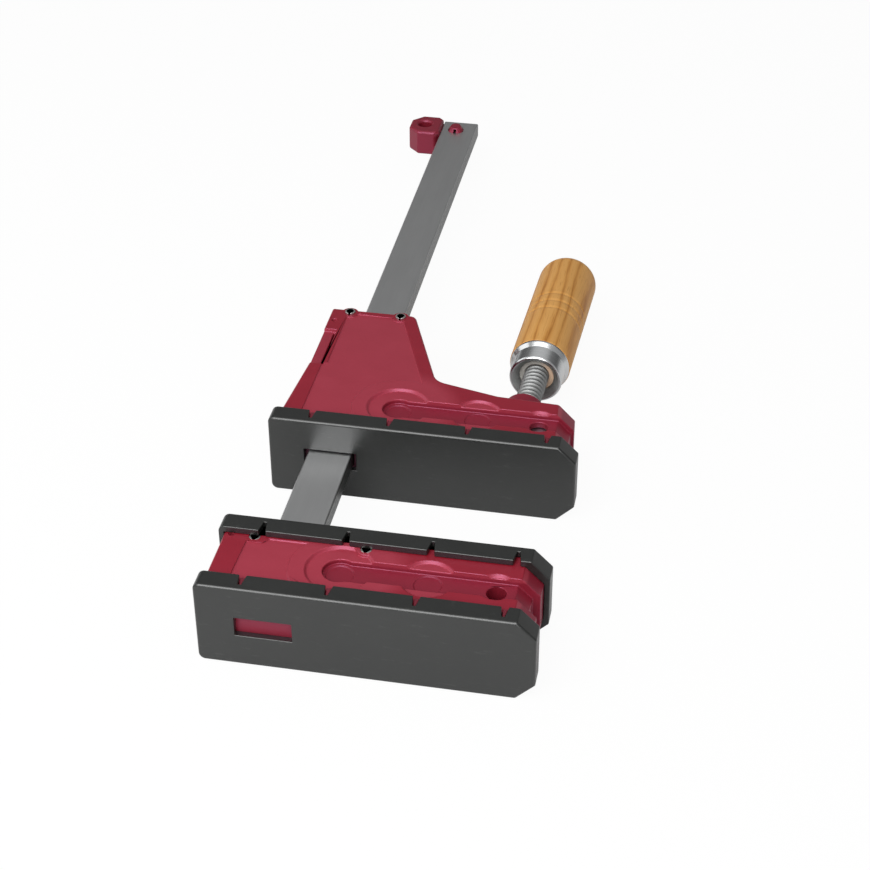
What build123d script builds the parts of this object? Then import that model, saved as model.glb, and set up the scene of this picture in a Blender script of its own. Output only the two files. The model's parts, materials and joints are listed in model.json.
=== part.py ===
from build123d import *
import math
import os

# Parallel clamp, lying on its side. Sizes are in millimetres and degrees.
# The origin is the centre of the fixed jaw's working face. X runs along the jaws from
# their spine end to their tip, Y runs along the bar away from the fixed jaw, Z is up.
# Both mouldings are alike on their upper and lower sides.

# Bar
bar_width = 20.0
bar_thickness = 8.0
bar_length = 447.0
bar_inset = 18.4  # from the spine end of the pads to the bar
bar_arris = 0.5
pin_chamfer = 0.5
tiny = 0.01

# Pads, three alike
pad_length = 140.0
pad_height = 40.0
pad_depth = 9.5  # from the working face to the free edge of the rim
pad_face_wall = 3.0
pad_rim = 3.0
pad_end_wall = 2.5
pad_fit = 0.1
pad_corner = 3.0
pad_edge_round = 1.2
tip_cut = 8.0
window_width = 24.0
window_height = 9.2

# Tapered notches in the pads' rims, and the nubs that stand in those of the two outer pads
notch_first = 18.9  # from the spine end of the pads
notch_last = 14.0  # from the tip end of the pads
notch_count = 4
notch_mouth = 3.0
notch_length = 6.0
notch_taper = 82.0
nub_gap = 0.3
nub_height = 2.0

# Jaws
jaw_depth = 48.0  # fixed jaw, over both pads
rest_opening = 70.5
bar_end_wall = 5.0  # moulding between the bar's end and the outer pad
corner_round = 1.2
panel_inset = 12.6  # from the spine end of the pads to the sunk panel
panel_drop = 0.6
spot_radius = 1.3
spot_depth = 3.0
spot_inset = 5.9

# Relief of the arms, the same on both jaws
channel_width = 12.6
channel_depth = 3.5
channel_end_radius = 7.2
relief_back = 23.6  # from a jaw's working face to the line of the rounds
relief_first = 55.2  # from the spine end of the pads to the first round
relief_last = 20.0  # from the tip end of the pads to the last round
relief_pitch = 28.2  # from the second round to the last
first_round = 13.6
second_round = 10.7
third_round = 7.2
round_drop = 1.3
round_draft = 35.0
halo_radius = 21.4  # the panels stop this far from the first round's centre
disc_radius = 5.8
disc_drop = 0.5
tip_hole_radius = 4.1

# Steel core of the fixed jaw
cheek_thickness = 4.0
cheek_end_gap = 2.0
cheek_front_gap = 4.0
cheek_spine_reach = 8.4
cheek_throat_reach = 30.6
cheek_corner = 8.0
core_gap = 0.3
rivet_radius = 3.0
rivet_first = 10.0  # from the bar's end
rivet_pitch = 16.0
pin_fit = 0.05
spacer_wall = 2.4

# Roll pins
roll_pin_radius = 2.5
roll_pin_bore = 1.5
roll_pin_slit = 0.8
roll_pin_bar_gap = 0.1
fixed_pin_depth = 9.6  # behind the working face
throat_pin_reach = 24.9  # from the bar's throat edge
pin_end_drop = 0.1
pin_boss_wall = 1.5
guide_pin_rise = 0.9  # above the tower's border

# Sunk panel of the fixed jaw
fixed_panel_back = 10.2  # behind the working face
fixed_panel_pin_back = 13.0  # the same where the panel passes the spine pin
fixed_panel_jog = 20.0  # from the spine end of the pads to the jog
fixed_panel_jog_width = 2.5

# Sliding jaw housing
front_wall = 5.5
arm_gap = 1.0
back_wall = 3.7
step_rise = 2.1
root_rise = 9.4
step_inset = 41.5  # from the tip end of the pads
root_reach = 29.8  # from the bar's throat edge
tower_spine_inset = 6.5
tower_kink = 51.4
tower_length = 101.0
tower_throat_wall = 9.6
tower_corner = 4.0
root_round = 9.0
tip_lean = 4.3  # of the arm's tip towards the bar
channel_gap = 0.3
guide_pin_depth = 2.6  # before the back of the tower
panel_back = 3.2
panel_side = 7.0
panel_jog = 2.4
slot_start = 52.0  # from the working face
slot_length = 30.0
slot_drop = 1.8
slit_width = 1.4
slit_inset = 12.2  # from the spine end of the pads to the slit's middle
slit_end_wall = 1.0
tower_spot_inset = 9.7  # from the spine end of the pads
tower_spot_depth = 10.6  # before the back of the tower

# Steel arm inside the sliding jaw
arm_thickness = 20.0
arm_depth = 15.0
arm_tip_inset = 14.0
hub_length = 35.0
hub_wall = 8.0
hub_gap = 0.2
gusset_reach = 26.0
gusset_rise = 10.0
arm_round = 2.0
bite_pin_radius = 2.0
bite_pin_gap = 0.1
bite_pin_inset = 4.0

# Spindle, its seat and its nut
clamp_travel = 9.0
spindle_radius = 6.0
spindle_inset = 32.6  # from the tip end of the pads to the seat's centre
spindle_lean = 2.15
spindle_reach = 85.0  # from the seat to the root of the tang
journal_radius = 4.0
journal_gap = 0.2
journal_end_gap = 0.5
tang_radius = 5.0
tang_length = 55.0
washer_radius = 9.0
washer_thickness = 2.0
washer_fit = 0.2
seat_gap = 0.1
web_thickness = 1.2
clip_thickness = 1.0
clip_radius = 6.3
clip_groove = 0.7
clip_fit = 0.1
clip_mouth = 5.0
nut_radius = 8.8
nut_lip = 2.5
nut_bore_gap = 0.5
boss_radius = 10.0
boss_reach = 47.0
boss_edge = 1.2
boss_bore_gap = 0.6

# Handle and ferrule, measured along the spindle from its seat
ferrule_start = 73.0
ferrule_length = 12.4
ferrule_radius = 12.8
ferrule_wall = 1.1
ferrule_lip_radius = 12.1
ferrule_lip = 0.8
ferrule_dish = 3.0
ferrule_hole = 8.4
ferrule_bevel = 0.9
ferrule_flare = 1.9
ferrule_land = 0.9
handle_radius = 14.8
handle_length = 85.8
handle_end_round = 8.5
handle_shoulder = 0.3
handle_fit = 0.1
groove_first = 31.0  # from the wood's shoulder
groove_pitch = 6.8
groove_count = 3
groove_side = 1.1  # of the square corner that cuts a groove

# Brake leaf in the tower
leaf_thickness = 0.8
leaf_height = 6.0
leaf_length = 24.0
leaf_bar_gap = 0.2
leaf_pocket_gap = 0.4
leaf_wall = 1.8

# End stop
stop_length = 21.0
stop_height = 14.8
stop_drop = 0.7  # of the block's middle below the bar's
stop_bar_gap = 0.1
stop_spine_cut = 6.0
stop_bar_cut = 2.5
stop_edge = 1.0
stop_tongue_root = 3.0
stop_tongue_reach = 14.0
stop_tongue_width = 14.0
stop_pin_radius = 3.6
stop_pin_inset = 8.4  # from the bar's spine edge
stop_pin_back = 10.0  # from the bar's far end
stop_pin_gap = 0.2
stop_slit = 1.7
stop_barb_rise = 2.8
stop_barb_lip = 1.0
stop_barb_taper = 34.0
hang_hole_radius = 3.8
hang_hole_inset = 8.5
hang_hole_back = 10.0
hang_hole_flare = 1.0

# Planes and places that follow from the sizes above
spine_x = -pad_length / 2
tip_x = pad_length / 2
bar_spine = spine_x + bar_inset
bar_throat = bar_spine + bar_width
bar_x = (bar_spine + bar_throat) / 2
body_half = pad_height / 2 - pad_rim - pad_fit
body_spine = spine_x + pad_end_wall + pad_fit
body_tip = tip_x - pad_end_wall - pad_fit
fixed_back = pad_face_wall - jaw_depth
fixed_front = -pad_face_wall
bar_start = fixed_back + bar_end_wall
bar_end = bar_start + bar_length
slide_front = rest_opening + pad_face_wall
relief_xs = (spine_x + relief_first, tip_x - relief_last - relief_pitch, tip_x - relief_last)
relief_radii = (first_round, second_round, third_round)
notch_pitch = (pad_length - notch_first - notch_last) / (notch_count - 1)
notch_xs = [spine_x + notch_first + notch_pitch * count for count in range(notch_count)]
spine_pin_x = bar_spine - roll_pin_radius - roll_pin_bar_gap
fixed_throat_pin_x = bar_throat + throat_pin_reach
guide_throat_pin_x = bar_throat + roll_pin_radius + roll_pin_bar_gap
panel_half = body_half - panel_drop
rivet_ys = [bar_start + rivet_first + rivet_pitch * count for count in range(2)]
stop_pin_x = bar_spine + stop_pin_inset
stop_pin_y = bar_end - stop_pin_back
stop_throat = bar_spine - stop_bar_gap
stop_bottom = -stop_drop - stop_height / 2
hang_hole_x = spine_x + hang_hole_inset
hang_hole_y = bar_end - hang_hole_back

fixed_middle = -relief_back
fixed_pin_y = -fixed_pin_depth
core_half = bar_thickness / 2 + cheek_thickness
core_spine = bar_spine - cheek_spine_reach
core_throat = bar_throat + cheek_throat_reach
cheek_depth = -cheek_front_gap - bar_start - cheek_end_gap

seat_y = slide_front + front_wall
arm_front = seat_y + arm_gap + clamp_travel
arm_back = arm_front + arm_depth
hub_back = arm_front + hub_length
hub_spine = bar_spine - hub_wall
hub_throat = bar_throat + hub_wall
arm_tip = tip_x - arm_tip_inset
housing_back = arm_back + arm_gap + back_wall
tower_back = rest_opening + tower_length
tower_spine = spine_x + tower_spine_inset
tower_throat = bar_throat + tower_throat_wall
kink_y = rest_opening + tower_kink
root_x = bar_throat + root_reach
root_y = housing_back + root_rise
step_x = tip_x - step_inset
panel_spine = spine_x + panel_inset
guide_pin_y = tower_back - guide_pin_depth
slot_y = rest_opening + slot_start
tower_spot_x = spine_x + tower_spot_inset
tower_spot_y = tower_back - tower_spot_depth
slit_x = spine_x + slit_inset
leaf_y = hub_back + arm_gap + leaf_wall + leaf_pocket_gap
sliding_middle = rest_opening + relief_back
arm_half = arm_thickness / 2
bite_pin_places = [
    (bar_spine - bite_pin_radius - bite_pin_gap, arm_front + bite_pin_inset),
    (bar_throat + bite_pin_radius + bite_pin_gap, hub_back - bite_pin_inset),
]

lean = math.radians(spindle_lean)
seat_x = tip_x - spindle_inset
seat = Vector(seat_x, seat_y, 0)
spindle_way = Vector(math.sin(lean), math.cos(lean), 0)
spindle_side = Vector(math.cos(lean), -math.sin(lean), 0)
spindle_plane = Plane(origin=seat, x_dir=spindle_side, z_dir=(0, 0, 1))
spindle_axis = Axis(seat, spindle_way)
web_front = -washer_thickness - web_thickness
journal_front = journal_end_gap - front_wall
nut_front = arm_front - seat_y
nut_length = arm_depth - nut_lip

os.makedirs("parts", exist_ok=True)


def save(part, label):
    """Name a finished piece and write it."""
    part.label = label
    export_step(part, f"parts/{label}.step")
    print(label, round(part.volume, 1))


def across(y):
    """Plane square to the bar, with its normal along the bar."""
    return Plane(origin=(0, y, 0), x_dir=(1, 0, 0), z_dir=(0, 1, 0))


def along_spindle(distance):
    """Plane square to the spindle, at a distance behind its seat."""
    return Plane(origin=seat + spindle_way * distance, x_dir=spindle_side, z_dir=spindle_way)


def along_nut(distance):
    """The same for the nut, which is in line with the spindle at half of the clamping travel."""
    origin = seat + Vector(0, clamp_travel / 2, 0) + spindle_way * (distance - clamp_travel / 2)
    return Plane(origin=origin, x_dir=spindle_side, z_dir=spindle_way)


def turned_point(radius, distance):
    """Place of a point of a turned profile."""
    return seat + spindle_side * radius + spindle_way * distance


def jaw_outline(grow=0.0):
    """A jaw seen along the bar: square at the spine, corners cut off at the tip."""
    spine = body_spine - grow
    tip = body_tip + grow
    half = body_half + grow
    with BuildSketch() as outline:
        with BuildLine():
            Polyline(
                (spine, -half),
                (tip - tip_cut, -half),
                (tip, tip_cut - half),
                (tip, half - tip_cut),
                (tip - tip_cut, half),
                (spine, half),
                close=True,
            )
        make_face()
    return outline.sketch


def arm_relief(middle):
    """All that is sunk into an arm: channel round the tip, round steps, discs and tip hole."""
    past = 1.0
    with BuildPart() as relief:
        with BuildSketch(across(middle - channel_width / 2)):
            add(jaw_outline(past))
            offset(jaw_outline(), amount=-channel_depth, kind=Kind.INTERSECTION, mode=Mode.SUBTRACT)
            with Locations((relief_xs[0], 0)):
                Rectangle(pad_length, pad_height, align=(Align.MAX, Align.CENTER), mode=Mode.SUBTRACT)
        extrude(amount=channel_width)
        with BuildSketch(Plane.XY.offset(body_half - channel_depth)):
            with Locations((relief_xs[0], middle)):
                Circle(channel_end_radius)
        extrude(amount=channel_depth + past)
        for x, radius in zip(relief_xs, relief_radii):
            rise = round_drop + past
            flare = rise * math.tan(math.radians(round_draft))
            cone_align = (Align.CENTER, Align.CENTER, Align.MIN)
            with Locations((x, middle, body_half - round_drop)):
                Cone(radius, radius + flare, rise, align=cone_align)
        for x in relief_xs[:2]:
            with Locations((x, middle, body_half - channel_depth - disc_drop)):
                Cylinder(disc_radius, channel_depth, align=cone_align)
        mirror(about=Plane.XY)
        with Locations((relief_xs[2], middle, 0)):
            Cylinder(tip_hole_radius, pad_height)
    return relief.part


def notch_row(face, inward):
    """A pad's notches seen from above, widest at the rim's free edge."""
    turn = 180 if inward > 0 else 0
    with BuildSketch() as row:
        with Locations([(x, face + inward * (pad_depth - notch_length / 2)) for x in notch_xs]):
            Trapezoid(notch_mouth, notch_length, notch_taper, rotation=turn)
    return row.sketch


def pad_nubs(face, inward):
    """Nubs of a body that stand in the rim notches of one pad."""
    with BuildPart() as nubs:
        with BuildSketch(Plane.XY.offset(body_half - round_drop)):
            offset(notch_row(face, inward), amount=-nub_gap, kind=Kind.INTERSECTION)
        extrude(amount=round_drop + nub_height)
        mirror(about=Plane.XY)
    return nubs.part


def arm_plan(front, gap):
    """The steel arm seen from above, grown by a gap, from a chosen front edge."""
    back = arm_back + gap
    with BuildSketch() as plan:
        with BuildLine():
            Polyline(
                (hub_spine - gap, front - gap),
                (arm_tip + gap, front - gap),
                (arm_tip + gap, back),
                (hub_throat + gusset_reach, back),
                (hub_throat + gap, back + gusset_rise),
                (hub_throat + gap, hub_back + gap),
                (hub_spine - gap, hub_back + gap),
                close=True,
            )
        make_face()
    return plan.sketch


def plate_of(sketch, half):
    """Solid of a sketch, as far below the middle plane as above it."""
    with BuildPart() as plate:
        with BuildSketch():
            add(sketch)
        extrude(amount=half, both=True)
    return plate.part


def skins_of(sketch, floor):
    """Cutter for both outer sides: all that lies over the sketch, from a floor outwards."""
    with BuildPart() as skins:
        with BuildSketch(Plane.XY.offset(floor)):
            add(sketch)
        extrude(amount=pad_height / 2 - floor)
        mirror(about=Plane.XY)
    return skins.part


def spot_cutter(x, y):
    """Small blind holes, above and below."""
    with BuildPart() as spots:
        with BuildSketch(Plane.XY.offset(body_half - spot_depth)):
            with Locations((x, y)):
                Circle(spot_radius)
        extrude(amount=pad_height / 2 - body_half + spot_depth)
        mirror(about=Plane.XY)
    return spots.part


def roll_pin(x, y, half_length):
    """Slit tube, rolled from spring steel."""
    with BuildPart() as pin:
        with BuildSketch(Plane.XY.offset(-half_length)):
            with Locations((x, y)):
                Circle(roll_pin_radius)
                Circle(roll_pin_bore, mode=Mode.SUBTRACT)
                slit_align = (Align.CENTER, Align.MAX)
                Rectangle(roll_pin_slit, 2 * roll_pin_radius, align=slit_align, mode=Mode.SUBTRACT)
        extrude(amount=2 * half_length)
    return pin.part


def round_bar(x, y, radius, half_length):
    """Plain upright pin with broken ends."""
    with BuildPart() as pin:
        with Locations((x, y, 0)):
            Cylinder(radius, 2 * half_length)
        chamfer(pin.edges().filter_by(GeomType.CIRCLE), pin_chamfer)
    return pin.part


def turned(profile):
    """Solid turned about the spindle's axis from a profile of radius and distance."""
    with BuildPart() as piece:
        with BuildSketch(spindle_plane):
            with BuildLine():
                Polyline(*profile, close=True)
            make_face()
        revolve(axis=spindle_axis)
    return piece.part


def corner_of(sketch, x, y):
    """The corner of a sketch nearest to a point."""
    return sketch.vertices().sort_by_distance((x, y, 0))[0]


# Bar
with BuildPart() as bar:
    with BuildSketch(across(bar_start)):
        with Locations((bar_x, 0)):
            Rectangle(bar_width, bar_thickness)
    extrude(amount=bar_length)
    chamfer(bar.edges().filter_by(Axis.Y), bar_arris)
    for rivet_y in rivet_ys:
        with Locations((bar_x, rivet_y, 0)):
            Cylinder(rivet_radius + pin_fit, bar_thickness, mode=Mode.SUBTRACT)
    with Locations((stop_pin_x, stop_pin_y, 0)):
        Cylinder(stop_pin_radius + stop_pin_gap, bar_thickness, mode=Mode.SUBTRACT)
save(bar.part, "bar")

# Pads: shallow trays whose rims reach back over the mouldings
for label, face, inward in (
    ("outer_pad", -jaw_depth, 1),
    ("inner_pad", 0.0, -1),
    ("sliding_pad", rest_opening, 1),
):
    with BuildPart() as pad:
        with BuildSketch(across(face)) as pad_outline:
            Rectangle(pad_length, pad_height)
            fillet(pad_outline.vertices().group_by(Axis.X)[0], pad_corner)
            chamfer(pad_outline.vertices().group_by(Axis.X)[-1], tip_cut)
        extrude(amount=inward * pad_depth)
        working_face = pad.faces().sort_by(Axis.Y)[0 if inward > 0 else -1]
        fillet(working_face.edges(), pad_edge_round)
        with BuildSketch(across(face + inward * pad_face_wall)):
            add(jaw_outline(pad_fit))
        extrude(amount=inward * pad_depth, mode=Mode.SUBTRACT)
        with BuildSketch(across(face)):
            with Locations((bar_x, 0)):
                Rectangle(window_width, window_height)
        extrude(amount=inward * pad_face_wall, mode=Mode.SUBTRACT)
        with BuildSketch():
            add(notch_row(face, inward))
        extrude(amount=pad_height, both=True, mode=Mode.SUBTRACT)
    save(pad.part, label)

# Fixed jaw body: a moulding round the riveted steel core, open towards the inner pad
with BuildSketch() as core_pocket:
    pocket_align = (Align.MIN, Align.MIN)
    with Locations((core_spine - core_gap, bar_start)):
        Rectangle(core_throat - core_spine + 2 * core_gap, jaw_depth, align=pocket_align)
jog_x = spine_x + fixed_panel_jog
with BuildSketch() as fixed_panel:
    with BuildLine():
        Polyline(
            (panel_spine, fixed_back),
            (panel_spine, -fixed_panel_pin_back),
            (jog_x, -fixed_panel_pin_back),
            (jog_x + fixed_panel_jog_width, -fixed_panel_back),
            (relief_xs[0], -fixed_panel_back),
            (relief_xs[0], fixed_back),
            close=True,
        )
    make_face()
    with Locations((relief_xs[0], fixed_middle)):
        Circle(halo_radius, mode=Mode.SUBTRACT)
with BuildPart() as fixed_jaw_body:
    with BuildSketch(across(fixed_back)):
        add(jaw_outline())
    extrude(amount=fixed_front - fixed_back)
    fillet(fixed_jaw_body.edges().filter_by(Axis.Y).group_by(Axis.X)[0], corner_round)
    add(skins_of(fixed_panel.sketch, panel_half), mode=Mode.SUBTRACT)
    add(arm_relief(fixed_middle), mode=Mode.SUBTRACT)
    with Locations((fixed_throat_pin_x, fixed_pin_y, 0)):
        Cylinder(roll_pin_radius + pin_boss_wall, 2 * body_half)
    add(pad_nubs(-jaw_depth, 1))
    add(plate_of(core_pocket.sketch, core_half + core_gap), mode=Mode.SUBTRACT)
    for pin_x in (spine_pin_x, fixed_throat_pin_x):
        with Locations((pin_x, fixed_pin_y, 0)):
            Cylinder(roll_pin_radius + pin_fit, pad_height, mode=Mode.SUBTRACT)
    add(spot_cutter(spine_x + spot_inset, fixed_pin_y), mode=Mode.SUBTRACT)
save(fixed_jaw_body.part, "fixed_jaw_body")

# Core cheeks: two steel plates riveted to the bar
for label, side in (("core_cheek_upper", 1), ("core_cheek_lower", -1)):
    with BuildPart() as cheek:
        with BuildSketch(Plane.XY.offset(side * bar_thickness / 2)) as cheek_outline:
            with Locations((core_spine, bar_start + cheek_end_gap)):
                Rectangle(core_throat - core_spine, cheek_depth, align=(Align.MIN, Align.MIN))
            chamfer(cheek_outline.vertices().group_by(Axis.Y)[0], cheek_corner)
            for rivet_y in rivet_ys:
                with Locations((bar_x, rivet_y)):
                    Circle(rivet_radius + pin_fit, mode=Mode.SUBTRACT)
            for pin_x in (spine_pin_x, fixed_throat_pin_x):
                with Locations((pin_x, fixed_pin_y)):
                    Circle(roll_pin_radius + pin_fit, mode=Mode.SUBTRACT)
        extrude(amount=side * cheek_thickness)
    save(cheek.part, label)

# Core rivets
with BuildPart() as core_rivets:
    for rivet_y in rivet_ys:
        add(round_bar(bar_x, rivet_y, rivet_radius, core_half))
save(core_rivets.part, "core_rivets")

# Core spacer: a tube round the throat pin, between the cheeks
with BuildPart() as core_spacer:
    with Locations((fixed_throat_pin_x, fixed_pin_y, 0)):
        Cylinder(roll_pin_radius + pin_fit + spacer_wall, bar_thickness)
        Cylinder(roll_pin_radius + pin_fit, bar_thickness, mode=Mode.SUBTRACT)
save(core_spacer.part, "core_spacer")

# Roll pins of the fixed jaw, and guide pins at the back of the tower
fixed_pin_half = body_half - pin_end_drop
guide_pin_half = body_half + guide_pin_rise
save(roll_pin(spine_pin_x, fixed_pin_y, fixed_pin_half), "spine_roll_pin")
save(roll_pin(fixed_throat_pin_x, fixed_pin_y, fixed_pin_half), "throat_roll_pin")
save(roll_pin(spine_pin_x, guide_pin_y, guide_pin_half), "spine_guide_pin")
save(roll_pin(guide_throat_pin_x, guide_pin_y, guide_pin_half), "throat_guide_pin")

# End stop: a block beside the bar's end, with a tongue under it and a split snap pin
with BuildPart() as end_stop:
    with BuildSketch(Plane.XY.offset(stop_bottom)) as stop_outline:
        with Locations((spine_x, bar_end)):
            Rectangle(stop_throat - spine_x, stop_length, align=(Align.MIN, Align.MAX))
        chamfer(stop_outline.vertices().group_by(Axis.X)[0], stop_spine_cut)
        chamfer(stop_outline.vertices().group_by(Axis.X)[-1], stop_bar_cut)
    extrude(amount=stop_height)
    chamfer(end_stop.faces().group_by(Axis.Z)[0].edges(), stop_edge)
    chamfer(end_stop.faces().group_by(Axis.Z)[-1].edges(), stop_edge)
    with BuildSketch(Plane.XY.offset(stop_bottom + stop_edge)):
        with Locations((bar_spine - stop_tongue_root, stop_pin_y)):
            tongue_align = (Align.MIN, Align.CENTER)
            Rectangle(stop_tongue_root + stop_tongue_reach, stop_tongue_width, align=tongue_align)
    extrude(amount=-bar_thickness / 2 - stop_bar_gap - stop_bottom - stop_edge)
    with BuildSketch(Plane.XY.offset(-bar_thickness / 2 - stop_bar_gap - pin_chamfer)):
        with Locations((stop_pin_x, stop_pin_y)):
            Circle(stop_pin_radius)
    extrude(amount=bar_thickness + 2 * stop_bar_gap + pin_chamfer)
    with BuildSketch(Plane.XY.offset(bar_thickness / 2 + stop_bar_gap)):
        with Locations((stop_pin_x, stop_pin_y)):
            Circle(stop_pin_radius + stop_barb_lip)
    extrude(amount=stop_barb_rise, taper=stop_barb_taper)
    with Locations((stop_pin_x, stop_pin_y, -bar_thickness / 4)):
        slit_box_align = (Align.CENTER, Align.CENTER, Align.MIN)
        Box(stop_slit, stop_tongue_width, bar_thickness, align=slit_box_align, mode=Mode.SUBTRACT)
    with Locations((hang_hole_x, hang_hole_y, -stop_drop)):
        Cylinder(hang_hole_radius, stop_height, mode=Mode.SUBTRACT)
    hole_rims = end_stop.edges().filter_by(GeomType.CIRCLE)
    hole_rims = hole_rims.filter_by(lambda edge: abs(edge.arc_center.X - hang_hole_x) < tiny)
    chamfer(hole_rims, hang_hole_flare)
save(end_stop.part, "end_stop")

# Sliding jaw housing: tower on the bar, arm towards the tip, boss round the spindle
with BuildSketch() as housing_plan:
    with BuildLine():
        Polyline(
            (body_spine, slide_front),
            (tower_spine, kink_y),
            (tower_spine, tower_back),
            (tower_throat, tower_back),
            (root_x, root_y),
            (step_x, housing_back + step_rise),
            (body_tip, housing_back),
            (body_tip, slide_front),
            close=True,
        )
    make_face()
    fillet(corner_of(housing_plan, root_x, root_y), root_round)
    fillet(corner_of(housing_plan, tower_throat, tower_back), tower_corner)
    fillet(corner_of(housing_plan, tower_spine, tower_back), corner_round)

# The sunk panel of the housing: what lies outside it is the border
ledge_x = tower_throat - panel_side
ledge_slope = (root_x - tower_throat) / (tower_back - root_y)
with BuildSketch() as housing_panel:
    with BuildLine():
        Polyline(
            (panel_spine, slide_front),
            (panel_spine, kink_y),
            (panel_spine + panel_jog, kink_y + panel_jog),
            (panel_spine + panel_jog, tower_back - panel_back),
            (ledge_x + ledge_slope * panel_back, tower_back - panel_back),
            (ledge_x + ledge_slope * (tower_back - sliding_middle), sliding_middle),
            (relief_xs[0], sliding_middle),
            (relief_xs[0], slide_front),
            close=True,
        )
    make_face()
    with Locations((relief_xs[0], sliding_middle)):
        Circle(halo_radius, mode=Mode.SUBTRACT)
with BuildSketch() as slot_floor:
    with Locations((spine_x, slot_y)):
        slot_align = (Align.MIN, Align.MIN)
        Rectangle(slit_inset + slit_width / 2, slot_length, align=slot_align)
with BuildSketch() as slit_outline:
    with Locations((slit_x, slot_y + slot_length / 2)):
        Rectangle(slit_width, slot_length - 2 * slit_end_wall)
with BuildSketch() as leaf_pocket:
    with Locations((slit_x - slit_width / 2, leaf_y - leaf_pocket_gap)):
        pocket_width = bar_x - slit_x
        Rectangle(pocket_width, leaf_length + 2 * leaf_pocket_gap, align=slot_align)

# Section plane that leans about the arm's front tip corner, so that the tip leans with it
tip_angle = math.radians(tip_lean)
lean_along = Vector(math.cos(tip_angle), math.sin(tip_angle), 0)
lean_back = Vector(-math.sin(tip_angle), math.cos(tip_angle), 0)
lean_origin = Vector(body_tip, slide_front, 0) - lean_along * body_tip
leaning_section = Plane(origin=lean_origin, x_dir=lean_along, z_dir=lean_back)

with BuildPart() as jaw_housing:
    with BuildSketch():
        add(housing_plan.sketch)
    extrude(amount=body_half, both=True)
    with BuildSketch(leaning_section):
        add(jaw_outline())
    extrude(amount=2 * tower_length, mode=Mode.INTERSECT)
    for face in (jaw_housing.faces().sort_by(Axis.Z)[0], jaw_housing.faces().sort_by(Axis.Z)[-1]):
        rims = face.edges().filter_by(lambda edge: edge.center().Y > slide_front + corner_round)
        fillet(rims, corner_round)
    add(skins_of(housing_panel.sketch, panel_half), mode=Mode.SUBTRACT)
    add(skins_of(slot_floor.sketch, body_half - slot_drop), mode=Mode.SUBTRACT)
    add(arm_relief(sliding_middle), mode=Mode.SUBTRACT)
    add(pad_nubs(rest_opening, 1))
    for pin_x in (spine_pin_x, guide_throat_pin_x):
        with Locations((pin_x, guide_pin_y, 0)):
            Cylinder(roll_pin_radius + pin_boss_wall, 2 * body_half)
    with BuildSketch(along_spindle(arm_back - seat_y)):
        Circle(boss_radius)
    extrude(amount=boss_reach - (arm_back - seat_y))
    boss_rim = jaw_housing.faces().sort_by_distance(along_spindle(boss_reach).origin)[0]
    chamfer(boss_rim.edges(), boss_edge)
    add(plate_of(arm_plan(seat_y + arm_gap, arm_gap), arm_half + core_gap), mode=Mode.SUBTRACT)
    with BuildSketch(across(slide_front)):
        with Locations((bar_x, 0)):
            Rectangle(bar_width + 2 * channel_gap, bar_thickness + 2 * channel_gap)
    extrude(amount=tower_length, mode=Mode.SUBTRACT)
    add(plate_of(slit_outline.sketch, pad_height), mode=Mode.SUBTRACT)
    add(plate_of(leaf_pocket.sketch, leaf_height / 2 + leaf_pocket_gap), mode=Mode.SUBTRACT)
    for pin_x in (spine_pin_x, guide_throat_pin_x):
        with Locations((pin_x, guide_pin_y, 0)):
            Cylinder(roll_pin_radius + pin_fit, pad_height, mode=Mode.SUBTRACT)
    add(spot_cutter(tower_spot_x, tower_spot_y), mode=Mode.SUBTRACT)
    with BuildSketch(along_spindle(-washer_thickness)):
        Circle(washer_radius + washer_fit)
    extrude(amount=washer_thickness + arm_gap, mode=Mode.SUBTRACT)
    with BuildSketch(along_spindle(web_front)):
        Circle(journal_radius + journal_gap)
    extrude(amount=web_thickness, mode=Mode.SUBTRACT)
    with BuildSketch(along_spindle(web_front)):
        Circle(clip_radius + journal_gap)
    extrude(amount=-front_wall, mode=Mode.SUBTRACT)
    with BuildSketch(along_spindle(0)):
        Circle(spindle_radius + boss_bore_gap)
    extrude(amount=boss_reach + boss_radius, mode=Mode.SUBTRACT)
save(jaw_housing.part, "jaw_housing")

# Steel arm: a hub round the bar, which jams on it under load, and a nose with the nut
with BuildPart() as sliding_arm:
    with BuildSketch() as arm_outline:
        add(arm_plan(arm_front, 0))
        hub_corners = arm_outline.vertices().filter_by(lambda corner: corner.X < hub_throat + tiny)
        fillet(hub_corners.group_by(Axis.Y)[0] + hub_corners.group_by(Axis.Y)[-1], arm_round)
        fillet(arm_outline.vertices().group_by(Axis.X)[-1], arm_round)
    extrude(amount=arm_half, both=True)
    with BuildSketch(across(arm_front)):
        with Locations((bar_x, 0)):
            Rectangle(bar_width + 2 * hub_gap, bar_thickness + 2 * hub_gap)
    extrude(amount=hub_length, mode=Mode.SUBTRACT)
    for pin_x, pin_y in bite_pin_places:
        with Locations((pin_x, pin_y, 0)):
            Cylinder(bite_pin_radius + pin_fit, arm_thickness, mode=Mode.SUBTRACT)
    with BuildSketch(along_nut(nut_front - nut_lip)):
        Circle(nut_radius + pin_fit)
    extrude(amount=nut_length + nut_lip, mode=Mode.SUBTRACT)
    with BuildSketch(along_nut(nut_front)):
        Circle(spindle_radius + boss_bore_gap)
    extrude(amount=2 * arm_depth, mode=Mode.SUBTRACT)
save(sliding_arm.part, "sliding_arm")

# Bite pins
bite_half = arm_half - pin_end_drop
save(round_bar(*bite_pin_places[0], bite_pin_radius, bite_half), "spine_bite_pin")
save(round_bar(*bite_pin_places[1], bite_pin_radius, bite_half), "throat_bite_pin")

# Spindle nut: a threaded bush, held by the lip at the back of its bore
with BuildPart() as spindle_nut:
    with BuildSketch(along_nut(nut_front)):
        Circle(nut_radius)
        Circle(spindle_radius + nut_bore_gap, mode=Mode.SUBTRACT)
    extrude(amount=nut_length)
save(spindle_nut.part, "spindle_nut")

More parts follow.
